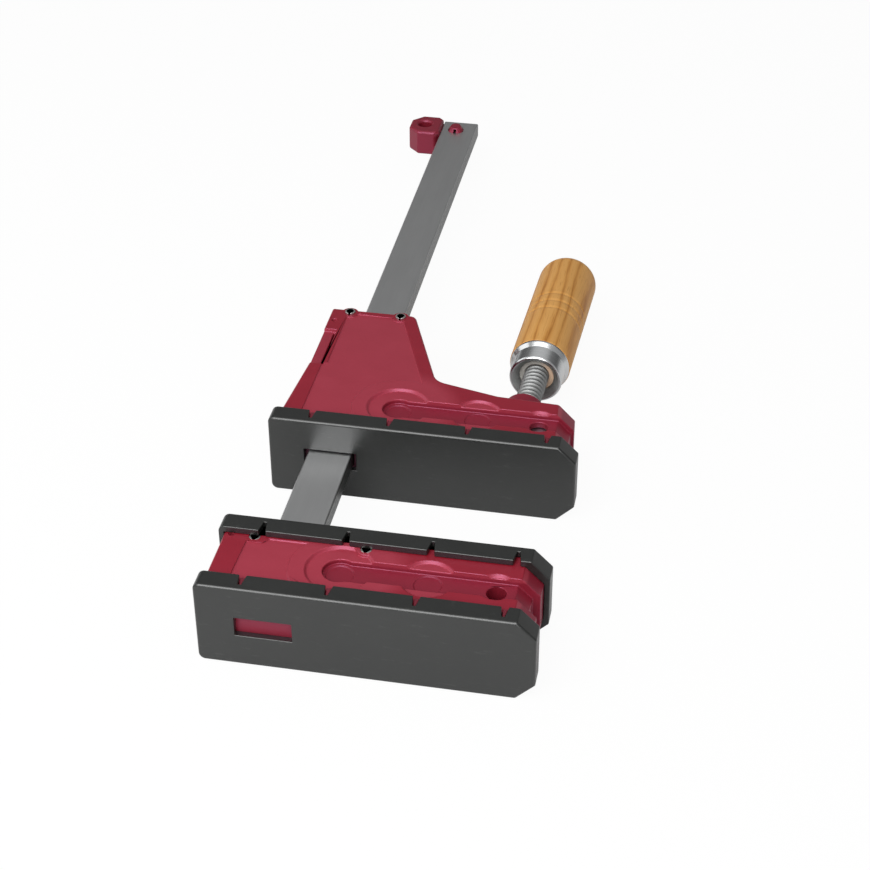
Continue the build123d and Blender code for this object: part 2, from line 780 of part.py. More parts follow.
# Thrust washer
with BuildPart() as thrust_washer:
    with BuildSketch(along_spindle(-washer_thickness)):
        Circle(washer_radius)
        Circle(journal_radius + journal_gap, mode=Mode.SUBTRACT)
    extrude(amount=washer_thickness)
save(thrust_washer.part, "thrust_washer")

# Brake leaf: bowed, with its feet on the pocket's wall and its crown on the bar's edge
with BuildPart() as brake_leaf:
    foot_x = slit_x - slit_width / 2 + leaf_bar_gap
    crown_x = bar_spine - leaf_bar_gap
    leaf_end = leaf_y + leaf_length
    leaf_middle = leaf_y + leaf_length / 2
    with BuildSketch():
        with BuildLine():
            foot_top = foot_x + leaf_thickness
            ThreePointArc((foot_top, leaf_y), (crown_x, leaf_middle), (foot_top, leaf_end))
            Line((foot_top, leaf_end), (foot_x, leaf_end))
            ThreePointArc((foot_x, leaf_end), (crown_x - leaf_thickness, leaf_middle), (foot_x, leaf_y))
            Line((foot_x, leaf_y), (foot_top, leaf_y))
        make_face()
    extrude(amount=leaf_height / 2, both=True)
save(brake_leaf.part, "brake_leaf")

# Spindle: journal and clip groove in front, thread along the middle, tang in the wood
groove_front = web_front - clip_thickness - 2 * clip_fit
groove_root = journal_radius - clip_groove
spindle_profile = [
    (0, journal_front),
    (journal_radius - pin_chamfer, journal_front),
    (journal_radius, journal_front + pin_chamfer),
    (journal_radius, groove_front),
    (groove_root, groove_front),
    (groove_root, web_front),
    (journal_radius, web_front),
    (journal_radius, seat_gap),
    (spindle_radius, seat_gap),
    (spindle_radius, spindle_reach),
    (tang_radius, spindle_reach),
    (tang_radius, spindle_reach + tang_length),
    (0, spindle_reach + tang_length),
]
save(turned(spindle_profile), "spindle")

# Spindle clip
with BuildPart() as spindle_clip:
    with BuildSketch(along_spindle(web_front - clip_fit)):
        Circle(clip_radius)
        Circle(groove_root + pin_fit, mode=Mode.SUBTRACT)
        Rectangle(clip_mouth, 2 * clip_radius, align=(Align.CENTER, Align.MAX), mode=Mode.SUBTRACT)
    extrude(amount=-clip_thickness)
save(spindle_clip.part, "spindle_clip")

# Ferrule: turned steel cap with a dished face, flared to meet the wood
ferrule_end = ferrule_start + ferrule_length
dish_floor = ferrule_start + ferrule_dish
ferrule_inside = ferrule_radius - ferrule_wall
ferrule_rim = handle_radius - handle_shoulder
ferrule_profile = [
    (ferrule_lip_radius, ferrule_start),
    (ferrule_radius, ferrule_start + ferrule_bevel),
    (ferrule_radius, ferrule_end - ferrule_land - ferrule_flare),
    (ferrule_rim, ferrule_end - ferrule_land),
    (ferrule_rim, ferrule_end),
    (ferrule_inside, ferrule_end),
    (ferrule_inside, dish_floor + ferrule_wall),
    (ferrule_hole, dish_floor + ferrule_wall),
    (ferrule_hole, dish_floor),
    (ferrule_lip_radius - ferrule_lip, ferrule_start),
]
save(turned(ferrule_profile), "ferrule")

# Handle: turned wood with three ring grooves and a rounded end
neck_front = dish_floor + ferrule_wall + handle_fit
shoulder = ferrule_end + handle_fit
handle_end = ferrule_end + handle_length
tang_bore = tang_radius + handle_fit
with BuildPart() as handle:
    with BuildSketch(spindle_plane) as handle_profile:
        with BuildLine():
            Polyline(
                (spindle_radius + handle_fit, neck_front),
                (ferrule_inside - handle_fit, neck_front),
                (ferrule_inside - handle_fit, shoulder),
                (ferrule_rim, shoulder),
                (handle_radius, shoulder + handle_shoulder),
                (handle_radius, handle_end),
                (0, handle_end),
                (0, spindle_reach + tang_length + handle_fit),
                (tang_bore, spindle_reach + tang_length + handle_fit),
                (tang_bore, spindle_reach + handle_fit),
                (spindle_radius + handle_fit, spindle_reach + handle_fit),
                close=True,
            )
        make_face()
        end_corner = handle_profile.vertices().sort_by_distance(turned_point(handle_radius, handle_end))[0]
        fillet(end_corner, handle_end_round)
        for count in range(groove_count):
            with Locations((handle_radius, shoulder + groove_first + count * groove_pitch)):
                Rectangle(groove_side, groove_side, rotation=45, mode=Mode.SUBTRACT)
    revolve(axis=spindle_axis)
save(handle.part, "handle")
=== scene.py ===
# %% [markdown]
# Parallel clamp: the looks
#
# The clamp lies on its side. Two deep jaws of crimson moulding carry black pads, a flat steel bar joins
# them, and a screw with a wooden handle pushes the rear jaw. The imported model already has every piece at
# its real size and place. This lesson rounds the edges that a mould or a file leaves, turns the parts
# that a lathe makes, cuts a real thread, and gives every surface its finish.

# %% Load the frame
import json
import math

import bmesh
import bpy
from mathutils import Matrix, Vector

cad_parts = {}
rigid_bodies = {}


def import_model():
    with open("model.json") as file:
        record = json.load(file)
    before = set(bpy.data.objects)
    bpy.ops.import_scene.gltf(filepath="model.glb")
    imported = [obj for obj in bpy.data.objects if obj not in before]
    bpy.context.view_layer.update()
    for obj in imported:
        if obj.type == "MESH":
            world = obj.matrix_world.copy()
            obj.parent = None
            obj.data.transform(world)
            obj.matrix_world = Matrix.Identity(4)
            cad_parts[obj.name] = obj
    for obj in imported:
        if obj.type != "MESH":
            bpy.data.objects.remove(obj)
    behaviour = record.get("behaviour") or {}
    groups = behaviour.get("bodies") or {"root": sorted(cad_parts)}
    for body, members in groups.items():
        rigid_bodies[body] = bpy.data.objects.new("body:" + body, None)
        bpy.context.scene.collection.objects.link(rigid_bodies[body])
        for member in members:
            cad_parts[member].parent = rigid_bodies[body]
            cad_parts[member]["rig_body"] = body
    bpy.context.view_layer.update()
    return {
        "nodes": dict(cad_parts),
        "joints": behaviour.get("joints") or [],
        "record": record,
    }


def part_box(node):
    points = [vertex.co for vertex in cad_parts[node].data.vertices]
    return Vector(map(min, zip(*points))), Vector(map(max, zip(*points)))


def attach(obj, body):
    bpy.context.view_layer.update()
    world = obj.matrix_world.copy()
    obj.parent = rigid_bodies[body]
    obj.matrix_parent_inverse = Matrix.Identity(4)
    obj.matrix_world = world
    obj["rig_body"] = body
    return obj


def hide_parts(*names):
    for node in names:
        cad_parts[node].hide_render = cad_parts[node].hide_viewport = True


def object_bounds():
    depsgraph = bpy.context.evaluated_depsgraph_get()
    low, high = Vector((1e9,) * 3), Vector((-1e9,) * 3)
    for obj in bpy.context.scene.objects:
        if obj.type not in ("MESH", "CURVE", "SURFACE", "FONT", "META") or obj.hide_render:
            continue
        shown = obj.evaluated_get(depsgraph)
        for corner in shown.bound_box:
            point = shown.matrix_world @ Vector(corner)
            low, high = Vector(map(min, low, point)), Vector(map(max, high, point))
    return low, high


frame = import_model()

nodes = frame["nodes"]
print("pieces in the frame:", len(nodes))

# %% [markdown]
# The spindle leans a little from the bar, so its parts are measured in its own frame. The joint of the
# screw says where the seat is and which way the spindle points. A distance is counted from the seat
# towards the handle, and a radius from the spindle's centre line.

# %% Measure along the spindle
MM = 0.001
spindle_joint = next(joint for joint in frame["joints"] if joint["name"] == "spindle_turn")
seat = Vector(spindle_joint["pos_m"])
spindle_way = -Vector(spindle_joint["axis"]).normalized()
spindle_side = spindle_way.cross(Vector((0, 0, 1))).normalized()


def spindle_reach(node):
    """First and last distance along the spindle, and the largest radius, of a CAD node."""
    steps = [vertex.co - seat for vertex in nodes[node].data.vertices]
    distances = [step.dot(spindle_way) for step in steps]
    radii = [(step - spindle_way * step.dot(spindle_way)).length for step in steps]
    return min(distances), max(distances), max(radii)


handle_front, handle_end, handle_radius = spindle_reach("handle")
ferrule_front, ferrule_end, ferrule_radius = spindle_reach("ferrule")
spindle_front, spindle_end, thread_radius = spindle_reach("spindle")
print("handle from", round(handle_front / MM, 1), "to", round(handle_end / MM, 1), "mm")

# %% [markdown]
# Modelling starts the same way each time: nothing else may be selected, because an operator acts on all
# that is. A finished piece sits at the origin and keeps its place in its mesh, as the frame's pieces do.

# %% Select one piece and finish it
def take(piece):
    """Make a piece the only one that is selected."""
    bpy.ops.object.select_all(action="DESELECT")
    piece.hide_set(False)
    piece.select_set(True)
    bpy.context.view_layer.objects.active = piece


def edit(piece):
    """Open a piece in edit mode with nothing in it selected."""
    take(piece)
    bpy.ops.object.mode_set(mode="EDIT")
    bpy.ops.mesh.select_all(action="DESELECT")


def stand_for(piece, node, material):
    """A finished piece replaces a CAD node, rides on its body and gets a finish."""
    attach(piece, nodes[node]["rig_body"])
    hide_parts(node)
    piece.data.materials.clear()
    piece.data.materials.append(material)


# %% [markdown]
# A CAD solid has knife edges, and a knife edge catches no light. On the real clamp each edge is a small
# round that shows as a bright line. The node's mesh is copied, its loose triangles are merged and its flat
# faces are joined up again. Then the edges that are sharper than a chosen angle are picked by their place
# and bevelled. A Weighted Normal modifier keeps the flat faces flat, so only the rounds bend the light.

# %% Copy a piece and round its edges
merge_distance = 0.002 * MM
flat_angle = math.radians(1.0)
sharp_angle = math.radians(32.0)
smooth_angle = math.radians(50.0)


def merged_copy(node, name):
    """A copy of a CAD node with its loose triangles joined."""
    piece = bpy.data.objects.new(name, nodes[node].data.copy())
    bpy.context.scene.collection.objects.link(piece)
    edit(piece)
    bpy.ops.mesh.select_all(action="SELECT")
    bpy.ops.mesh.remove_doubles(threshold=merge_distance)
    bpy.ops.mesh.select_all(action="SELECT")
    bpy.ops.mesh.dissolve_limited(angle_limit=flat_angle)
    bpy.ops.object.mode_set(mode="OBJECT")
    return piece


def round_edges(piece, width, segments, chosen):
    """Bevel the sharp edges whose middle passes a test."""
    edit(piece)
    bpy.ops.mesh.select_mode(type="EDGE")
    shape = bmesh.from_edit_mesh(piece.data)
    for edge in shape.edges:
        sharp = len(edge.link_faces) == 2 and edge.calc_face_angle() > sharp_angle
        if sharp and chosen((edge.verts[0].co + edge.verts[1].co) / 2):
            edge.select_set(True)
    bmesh.update_edit_mesh(piece.data)
    bpy.ops.mesh.bevel(offset=width, segments=segments, affect="EDGES", clamp_overlap=False)
    bpy.ops.mesh.select_mode(type="VERT")
    bpy.ops.object.mode_set(mode="OBJECT")


def soften(piece):
    """Smooth shading on the rounds, with the flat faces left flat."""
    take(piece)
    bpy.ops.object.shade_smooth_by_angle(angle=smooth_angle)
    weights = piece.modifiers.new("weights", "WEIGHTED_NORMAL")
    weights.keep_sharp = True
    bpy.ops.object.modifier_apply(modifier=weights.name)
    print(piece.name, len(piece.data.polygons), "faces")


# %% [markdown]
# Turned parts start from half of their section. A single point is pushed along the section, as by hand,
# and the line that it leaves is spun once round the centre line. Spin can turn a shape inside out, so the
# doubles of its seam are merged and its faces are turned outwards afterwards.

# %% Draw a section and spin it
spin_steps = 96


def at(radius, distance):
    """A point of a section beside the spindle's centre line."""
    return seat + spindle_side * radius + spindle_way * distance


def drawn_line(name, points):
    """One point, extruded along a section."""
    bpy.ops.object.select_all(action="DESELECT")
    bpy.ops.mesh.primitive_plane_add(size=MM, location=points[0])
    piece = bpy.context.object
    piece.name = name
    bpy.ops.object.transform_apply(location=True, rotation=True, scale=True)
    bpy.ops.object.mode_set(mode="EDIT")
    bpy.ops.mesh.select_all(action="SELECT")
    bpy.ops.mesh.merge(type="CENTER")
    for start, end in zip(points, points[1:]):
        bpy.ops.mesh.extrude_vertices_move(TRANSFORM_OT_translate={"value": end - start})
    return piece


def turned(name, section):
    """A closed section of radius and distance, spun round the spindle's centre line."""
    piece = drawn_line(name, [at(radius, distance) for radius, distance in section + section[:1]])
    bpy.ops.mesh.select_all(action="SELECT")
    bpy.ops.mesh.remove_doubles(threshold=merge_distance)
    bpy.ops.mesh.select_all(action="SELECT")
    bpy.ops.mesh.spin(steps=spin_steps, angle=2 * math.pi, center=seat, axis=spindle_way)
    bpy.ops.mesh.select_all(action="SELECT")
    bpy.ops.mesh.remove_doubles(threshold=merge_distance)
    bpy.ops.mesh.normals_make_consistent(inside=False)
    bpy.ops.object.mode_set(mode="OBJECT")
    take(piece)
    bpy.ops.object.shade_smooth_by_angle(angle=smooth_angle)
    print(name, len(piece.data.polygons), "faces")
    return piece


# %% [markdown]
# A finish is a small network of nodes. To keep it readable, a socket is wrapped so that plain arithmetic
# adds Math nodes, and every other kind of node comes from one method.

# %% Sockets with arithmetic
class Socket:
    """An output of a node, with the operators that the finishes use."""

    def __init__(self, paint, socket):
        self.paint = paint
        self.socket = socket

    def maths(self, operation, first, second):
        """One Math node with two inputs."""
        return self.paint.node("ShaderNodeMath", {"operation": operation}, {0: first, 1: second})

    def __add__(self, other):
        return self.maths("ADD", self, other)

    def __radd__(self, other):
        return self.maths("ADD", other, self)

    def __sub__(self, other):
        return self.maths("SUBTRACT", self, other)

    def __rsub__(self, other):
        return self.maths("SUBTRACT", other, self)

    def __mul__(self, other):
        return self.maths("MULTIPLY", self, other)

    def __rmul__(self, other):
        return self.maths("MULTIPLY", other, self)

    def __pow__(self, other):
        return self.maths("POWER", self, other)

    def output(self, number):
        """Another output of the same node."""
        return Socket(self.paint, self.socket.node.outputs[number])


class Paint:
    """The nodes of one material or of the world."""

    def __init__(self, owner):
        self.owner = owner
        owner.use_nodes = True
        self.tree = owner.node_tree
        self.tree.nodes.clear()

    def node(self, kind, settings, inputs, output=0):
        """Add a node: its settings first, then the values or links of its inputs."""
        made = self.tree.nodes.new(kind)
        for name, value in settings.items():
            if name == "stops":
                set_stops(made.color_ramp, value)
            else:
                setattr(made, name, value)
        for name, value in inputs.items():
            if isinstance(value, Socket):
                self.tree.links.new(value.socket, made.inputs[name])
            else:
                made.inputs[name].default_value = value
        return Socket(self, made.outputs[output]) if made.outputs else None

    def mix(self, first, second, share):
        """A colour between two colours."""
        settings = {"data_type": "RGBA", "clamp_factor": True}
        return self.node("ShaderNodeMix", settings, {"Factor": share, 6: first, 7: second}, 2)

    def place(self, move=(0, 0, 0), stretch=(1, 1, 1)):
        """The piece's own coordinates, moved and stretched."""
        own = self.node("ShaderNodeTexCoord", {}, {}, "Object")
        moved = {"Vector": own, "Location": move, "Scale": stretch}
        return self.node("ShaderNodeMapping", {"vector_type": "POINT"}, moved)

    def distance(self, centre, axes=(1, 1, 1)):
        """How far each point is from a centre, along the chosen axes."""
        inputs = {0: self.place(move=-centre), 1: axes}
        steps = self.node("ShaderNodeVectorMath", {"operation": "MULTIPLY"}, inputs)
        return self.node("ShaderNodeVectorMath", {"operation": "LENGTH"}, {0: steps}, "Value")

    def noise(self, vector, scale, detail=3.0, roughness=0.5):
        """Soft random values between 0 and 1."""
        inputs = {"Vector": vector, "Scale": scale, "Detail": detail, "Roughness": roughness}
        return self.node("ShaderNodeTexNoise", {}, inputs)

    def ramp(self, value, stops):
        """A value turned into a colour."""
        return self.node("ShaderNodeValToRGB", {"stops": stops}, {0: value})

    def bump(self, height, depth, strength=1.0):
        """A normal from a height between 0 and 1, with its depth in metres."""
        inputs = {"Height": height, "Distance": depth, "Strength": strength}
        return self.node("ShaderNodeBump", {}, inputs)

    def fade(self, value, start, end):
        """A value that goes from 0 at the start to 1 at the end."""
        inputs = {0: value, 1: start, 2: end, 3: 0.0, 4: 1.0}
        return self.node("ShaderNodeMapRange", {"clamp": True}, inputs)

    def seen_by(self, kind):
        """A socket that is 1 for one kind of ray, such as Camera, and 0 for the others."""
        return self.node("ShaderNodeLightPath", {}, {}, "Is " + kind + " Ray")

    def surface(self, inputs):
        """Finish the material with one Principled shader."""
        shader = self.node("ShaderNodeBsdfPrincipled", {}, inputs)
        self.node("ShaderNodeOutputMaterial", {}, {"Surface": shader})
        return self.owner


def set_stops(ramp, stops):
    """Give a colour ramp its places and colours."""
    while len(ramp.elements) < len(stops):
        ramp.elements.new(1.0)
    for element, (place, colour) in zip(ramp.elements, stops):
        element.position = place
        element.color = colour


def colour(red, green, blue):
    """A colour that is given as a screen shows it, from 0 to 255, as the light that it stands for."""
    return tuple((part / 255) ** 2.2 for part in (red, green, blue)) + (1.0,)


def grey(level):
    """A plain grey of a given strength."""
    return (level, level, level, 1.0)


def new_paint(name):
    """An empty material that is ready for its nodes."""
    return Paint(bpy.data.materials.new(name))


# %% [markdown]
# The mouldings are glass-filled nylon. Their skin is a semi-gloss crimson with faint cloudy flow marks and
# a very fine grain from the mould, which spreads the highlights on the edges and tints them lilac. The
# mould is polished on the raised borders and arms, and etched in the sunk panels and steps, which look
# paler. The two are told apart by their height above the clamp's middle plane. Round the first round step
# of each jaw the border is etched too, and that is told by the distance from the step's centre. The floor
# of the channels is darkened as painted shade, and so is what stands above the border, under the pads'
# lips. Where the bar runs into the sliding jaw, the moulding round it is painted nearly black as painted
# shade in the narrow gap.

# %% Crimson moulding
border_height = 16.9 * MM
panel_height = 16.3 * MM
channel_height = 13.4 * MM
height_blend = 0.2 * MM
channel_blend = 1.0 * MM
# Painted shade under the pads' lips: the heights over which it sets in.
lip_shade_low = border_height + 0.4 * MM
lip_shade_high = border_height + 1.0 * MM
halo_radius = 21.4 * MM
halo_fade = 1.4
pads_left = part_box("sliding_pad")[0][0]
sliding_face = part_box("sliding_pad")[0][1]
bar_low, bar_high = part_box("bar")
bar_middle = (bar_low[0] + bar_high[0]) / 2
bar_half = (bar_high[0] - bar_low[0]) / 2
# Painted shade round the bar where it runs into the sliding jaw: how deep and how wide it reaches.
bar_shade_depth = 5 * MM
bar_shade_reach = 4 * MM
bar_way_in = Vector((bar_middle, sliding_face + bar_shade_depth, 0))
bar_shade_radius = bar_half + bar_shade_reach
round_inset = 55.2 * MM
round_back = 23.6 * MM
round_ys = (-round_back, sliding_face + round_back)
round_centres = [Vector((pads_left + round_inset, round_y, 0)) for round_y in round_ys]


def crimson_moulding():
    paint = new_paint("crimson_moulding")
    flow = paint.noise(paint.place(stretch=(1, 1.6, 1)), 55, 4.0, 0.6)
    speckle = paint.noise(paint.place(), 900, 3.0, 0.7)
    grain = paint.noise(paint.place(), 2600, 2.0)
    clouds = flow * 0.6 + speckle * 0.4
    parts = paint.node("ShaderNodeSeparateXYZ", {}, {0: paint.place()})
    height = paint.node("ShaderNodeMath", {"operation": "ABSOLUTE"}, {0: parts.output(2)})
    polished = paint.fade(height, panel_height + height_blend, border_height - height_blend)
    for centre in round_centres:
        from_centre = paint.distance(centre, (1, 1, 0))
        polished = polished * paint.fade(from_centre, halo_radius, halo_radius * halo_fade)
    # Painted shade: the floors of the channels are darkened.
    painted_channel_shade = paint.fade(height, channel_height + 2 * channel_blend, channel_height + channel_blend)
    # Painted shade: what stands above the border, under the pads' lips, is darkened.
    painted_lip_shade = paint.fade(height, lip_shade_low, lip_shade_high)
    border = paint.mix(colour(131, 28, 40), colour(146, 37, 49), clouds)
    panel = paint.mix(colour(146, 46, 57), colour(162, 58, 71), clouds)
    body = paint.mix(paint.mix(panel, border, polished), colour(118, 26, 40), painted_channel_shade * 0.8)
    body = paint.mix(body, colour(98, 38, 46), painted_lip_shade * 0.8)
    # Painted shade: the moulding round the bar in the sliding jaw is painted nearly black.
    painted_bar_shade = paint.fade(paint.distance(bar_way_in), bar_shade_radius, bar_shade_radius - MM)
    return paint.surface({
        "Base Color": paint.mix(body, colour(24, 14, 15), painted_bar_shade * 0.9),
        "Roughness": 0.32 + 0.12 * flow + 0.06 * grain - 0.08 * polished,
        "Specular IOR Level": 0.7,
        "Specular Tint": colour(255, 196, 240),
        "Normal": paint.bump(grain, 0.02 * MM, 0.5),
    })


# %% [markdown]
# The pads are polyethylene, so glue does not stick to them. They are charcoal with a waxy, slightly
# uneven sheen, a leathery grain that is finer than a millimetre, and a few pale rubs from work pieces.

# %% Black pad
def black_pad():
    paint = new_paint("black_pad")
    cloud = paint.noise(paint.place(), 38, 4.0, 0.62)
    grain = paint.noise(paint.place(), 1500, 3.0, 0.6)
    rubs = paint.noise(paint.place(stretch=(1, 1, 5)), 90, 5.0, 0.75)
    rub_mask = paint.ramp(rubs, [(0.60, grey(0.0)), (0.85, grey(1.0))])
    body = paint.mix(colour(27, 29, 28), colour(37, 38, 37), cloud)
    return paint.surface({
        "Base Color": paint.mix(body, colour(84, 85, 83), rub_mask * 0.5),
        "Roughness": 0.27 + 0.10 * cloud + 0.08 * grain,
        "Specular IOR Level": 0.7,
        "Normal": paint.bump(grain, 0.03 * MM, 0.6),
    })


# %% [markdown]
# The bar is cold-drawn steel with a satin skin. Noise that is stretched along the bar gives its fine
# lines, and a cloudy patchiness comes from handling. Its narrow sides are painted darker, as painted shade
# for the dim light that they catch. They are found by their distance from the bar's middle line, which
# leaves the bright arris between them and the broad faces.

# %% Drawn and ground steels
arris_low = 0.15 * MM
arris_high = 0.05 * MM


def bar_steel():
    paint = new_paint("bar_steel")
    lines = paint.noise(paint.place(stretch=(2600, 30, 2600)), 1.0, 5.0, 0.75)
    patches = paint.noise(paint.place(stretch=(70, 25, 70)), 1.0, 4.0, 0.6)
    broad = paint.mix(colour(190, 191, 192), colour(220, 221, 221), lines * 0.5 + patches * 0.5)
    # Painted shade: the narrow sides get the darker colour below.
    sideways = paint.node("ShaderNodeSeparateXYZ", {}, {0: paint.place(move=(-bar_middle, 0, 0))})
    from_middle = paint.node("ShaderNodeMath", {"operation": "ABSOLUTE"}, {0: sideways})
    painted_side_shade = paint.fade(from_middle, bar_half - arris_low, bar_half - arris_high)
    scale = paint.mix(colour(84, 85, 85), colour(122, 122, 121), patches)
    return paint.surface({
        "Base Color": paint.mix(broad, scale, painted_side_shade),
        "Metallic": 1.0,
        "Roughness": 0.30 + 0.14 * lines,
        "Normal": paint.bump(lines, 0.012 * MM, 0.6),
    })


def ground_steel(name, dark, light, stretch):
    """Steel with grinding lines along the axis that the stretch leaves long."""
    paint = new_paint(name)
    lines = paint.noise(paint.place(stretch=stretch), 1.0, 5.0, 0.7)
    patches = paint.noise(paint.place(stretch=(60, 9, 60)), 1.0, 3.0)
    return paint.surface({
        "Base Color": paint.mix(dark, light, lines * 0.55 + patches * 0.45),
        "Metallic": 1.0,
        "Roughness": 0.32 + 0.16 * lines,
        "Normal": paint.bump(lines, 0.012 * MM, 0.6),
    })


# %% [markdown]
# The ferrule and the spindle come from a lathe. Their marks run round the centre line, so the finish
# reads the distance along it: each distance has its own tone. The ferrule is polished outside, and its
# dished face is left as the tool cut it, duller and with coarser rings. The spindle's thread carries
# painted light: it is painted lighter on its crests and darker in its roots.

# %% Turned steels
spindle_turn = math.atan2(spindle_way.x, spindle_way.y)
dish_edge = 11.4 * MM
dish_blend = 0.3 * MM
thread_depth = 0.8 * MM


def spindle_place(paint, stretch=(1, 1, 1)):
    """Coordinates with their origin in the seat and their Y along the spindle."""
    moved = paint.place(move=-seat)
    inputs = {"Vector": moved, "Rotation": (0, 0, spindle_turn), "Scale": stretch}
    return paint.node("ShaderNodeMapping", {"vector_type": "POINT"}, inputs)


def spindle_parts(paint):
    """Radius and distance of each point, as two sockets."""
    parts = paint.node("ShaderNodeSeparateXYZ", {}, {0: spindle_place(paint)})
    return (parts * parts + parts.output(2) * parts.output(2)) ** 0.5, parts.output(1)


def lathe_marks(paint, scale):
    """Noise that changes along the spindle and hardly round it."""
    radius, along = spindle_parts(paint)
    point = paint.node("ShaderNodeCombineXYZ", {}, {0: radius * 0.6, 1: along})
    return paint.noise(point, scale, 4.0, 0.7)


def ferrule_steel():
    paint = new_paint("ferrule_steel")
    marks = lathe_marks(paint, 2400)
    haze = paint.noise(paint.place(), 120, 3.0)
    radius = spindle_parts(paint)[0]
    cut = paint.fade(radius, dish_edge, dish_edge - dish_blend)
    polished = paint.mix(colour(176, 178, 180), colour(220, 222, 223), marks)
    dull = paint.mix(colour(150, 152, 151), colour(206, 208, 207), marks)
    return paint.surface({
        "Base Color": paint.mix(polished, dull, cut),
        "Metallic": 1.0,
        "Roughness": 0.10 + 0.08 * haze + 0.08 * marks + 0.24 * cut,
        "Normal": paint.bump(marks, 0.03 * MM, 0.8),
    })


def spindle_steel():
    paint = new_paint("spindle_steel")
    radius = spindle_parts(paint)[0]
    # Painted light on the thread: lighter on the crests, painted shade in the roots.
    height = paint.fade(radius, thread_radius - thread_depth, thread_radius)
    wear = paint.noise(paint.place(), 420, 4.0, 0.65)
    return paint.surface({
        "Base Color": paint.mix(colour(104, 105, 104), colour(160, 161, 161), height * 0.5 + wear * 0.5),
        "Metallic": 1.0,
        "Roughness": 0.58 - 0.06 * height + 0.12 * wear,
        "Normal": paint.bump(wear, 0.05 * MM, 0.6),
    })


# %% [markdown]
# The handle is turned from straight-grained hardwood. A board's growth rings are wide shells round a
# distant centre, so a round stick cut from it shows them as streaks along its length. The finish measures
# the distance from such a centre, bends it with noise, and turns it into light and dark wood. The streaks
# fade in and out, fine dark pores run along the grain, and a thin varnish lies over all. The sawn end in
# the ferrule's hole is bare and paler, and carries painted light: grey on one side and tan on the other.

# %% Varnished wood
ring_centre = (0.031, 0.0, 0.012)
ring_width = 5.4 * MM
bare_end = handle_front + 0.4 * MM
# Painted light on the sawn end: where it turns from grey to tan.
painted_grey_edge = 1.0 * MM
painted_tan_edge = 6.0 * MM


def varnished_wood():
    paint = new_paint("varnished_wood")
    place = spindle_place(paint)
    wander = paint.noise(spindle_place(paint, (1, 0.10, 1)), 110, 4.0, 0.6)
    moved = paint.node("ShaderNodeVectorMath", {"operation": "SUBTRACT"}, {0: place, 1: ring_centre})
    flat = paint.node("ShaderNodeVectorMath", {"operation": "MULTIPLY"}, {0: moved, 1: (1, 0, 1)})
    ring_radius = paint.node("ShaderNodeVectorMath", {"operation": "LENGTH"}, {0: flat}, "Value")
    count = ring_radius * (1 / ring_width) + wander * 1.3
    rings = paint.node("ShaderNodeMath", {"operation": "FRACT"}, {0: count})
    early = colour(222, 168, 98)
    middle = colour(207, 148, 77)
    late = colour(156, 96, 36)
    stops = [(0.0, late), (0.14, middle), (0.34, early), (0.66, early), (0.86, middle), (1.0, late)]
    streaks = paint.ramp(rings, stops)
    fade = paint.noise(spindle_place(paint, (1, 0.22, 1)), 140, 3.0)
    fade_mask = paint.ramp(fade, [(0.35, grey(0.0)), (0.62, grey(1.0))])
    wood = paint.mix(streaks, colour(216, 160, 90), fade_mask * 0.45)
    fibres = paint.noise(spindle_place(paint, (1, 0.02, 1)), 1500, 4.0, 0.7)
    wood = paint.mix(wood, colour(186, 126, 60), fibres * 0.45)
    pores = paint.noise(spindle_place(paint, (1, 0.05, 1)), 1900, 3.0, 0.6)
    pore_mask = paint.ramp(pores, [(0.56, grey(0.0)), (0.72, grey(1.0))])
    wood = paint.mix(wood, colour(142, 86, 36), pore_mask * 0.42)
    along = spindle_parts(paint)[1]
    bare = paint.node("ShaderNodeMath", {"operation": "LESS_THAN"}, {0: along, 1: bare_end})
    # Painted light: the sawn end is grey on one side and tan on the other.
    across = paint.node("ShaderNodeSeparateXYZ", {}, {0: place})
    painted_side_light = paint.fade(across, painted_grey_edge, painted_tan_edge)
    sawn = paint.mix(colour(168, 166, 160), colour(204, 174, 148), painted_side_light)
    return paint.surface({
        "Base Color": paint.mix(wood, sawn, bare),
        "Roughness": 0.48 + 0.14 * pores,
        "IOR": 1.35,
        "Coat Weight": 0.1 - 0.1 * bare,
        "Coat Roughness": 0.3,
        "Normal": paint.bump(1.0 - pore_mask, 0.03 * MM, 0.4),
    })


# %% [markdown]
# Each CAD piece gets the finish that its record names, also where it is hidden. The pieces that are made
# below take theirs from the same table.

# %% Make the finishes
finishes = {
    "crimson_moulding": crimson_moulding(),
    "black_pad": black_pad(),
    "bar_steel": bar_steel(),
    "core_steel": ground_steel("core_steel", colour(130, 131, 133), colour(160, 161, 163), (900, 900, 30)),
    "pin_steel": ground_steel("pin_steel", colour(164, 164, 162), colour(200, 200, 197), (900, 900, 60)),
    "spindle_steel": spindle_steel(),
    "ferrule_steel": ferrule_steel(),
    "varnished_wood": varnished_wood(),
}
for part in frame["record"]["subparts"]:
    kept = nodes[part["node"]]
    kept.data.materials.clear()
    kept.data.materials.append(finishes[part["material_slot"]])
slots = {part["node"]: part["material_slot"] for part in frame["record"]["subparts"]}
print("finishes:", ", ".join(finishes))

# %% [markdown]
# Everything that is moulded, stamped or drawn keeps the CAD shape and only gets its edges. The round of an
# edge belongs to how the piece was made: wider on a pad, fine on a drawn bar or a cut pin. The mouldings
# and the pads' faces already have wide rounds outside, so only their steps and rims are left. Where a
# moulding closes round a pin, its edges are too short to bevel, and they stay as they are.

# %% Pads
pad_edge = 0.4 * MM


def finished(piece, node):
    """Soften a rounded copy, and let it stand for its node with the same finish."""
    soften(piece)
    stand_for(piece, node, finishes[slots[node]])


for node in ("outer_pad", "inner_pad", "sliding_pad"):
    piece = merged_copy(node, node + "_rounded")
    round_edges(piece, pad_edge, 2, lambda middle: True)
    finished(piece, node)

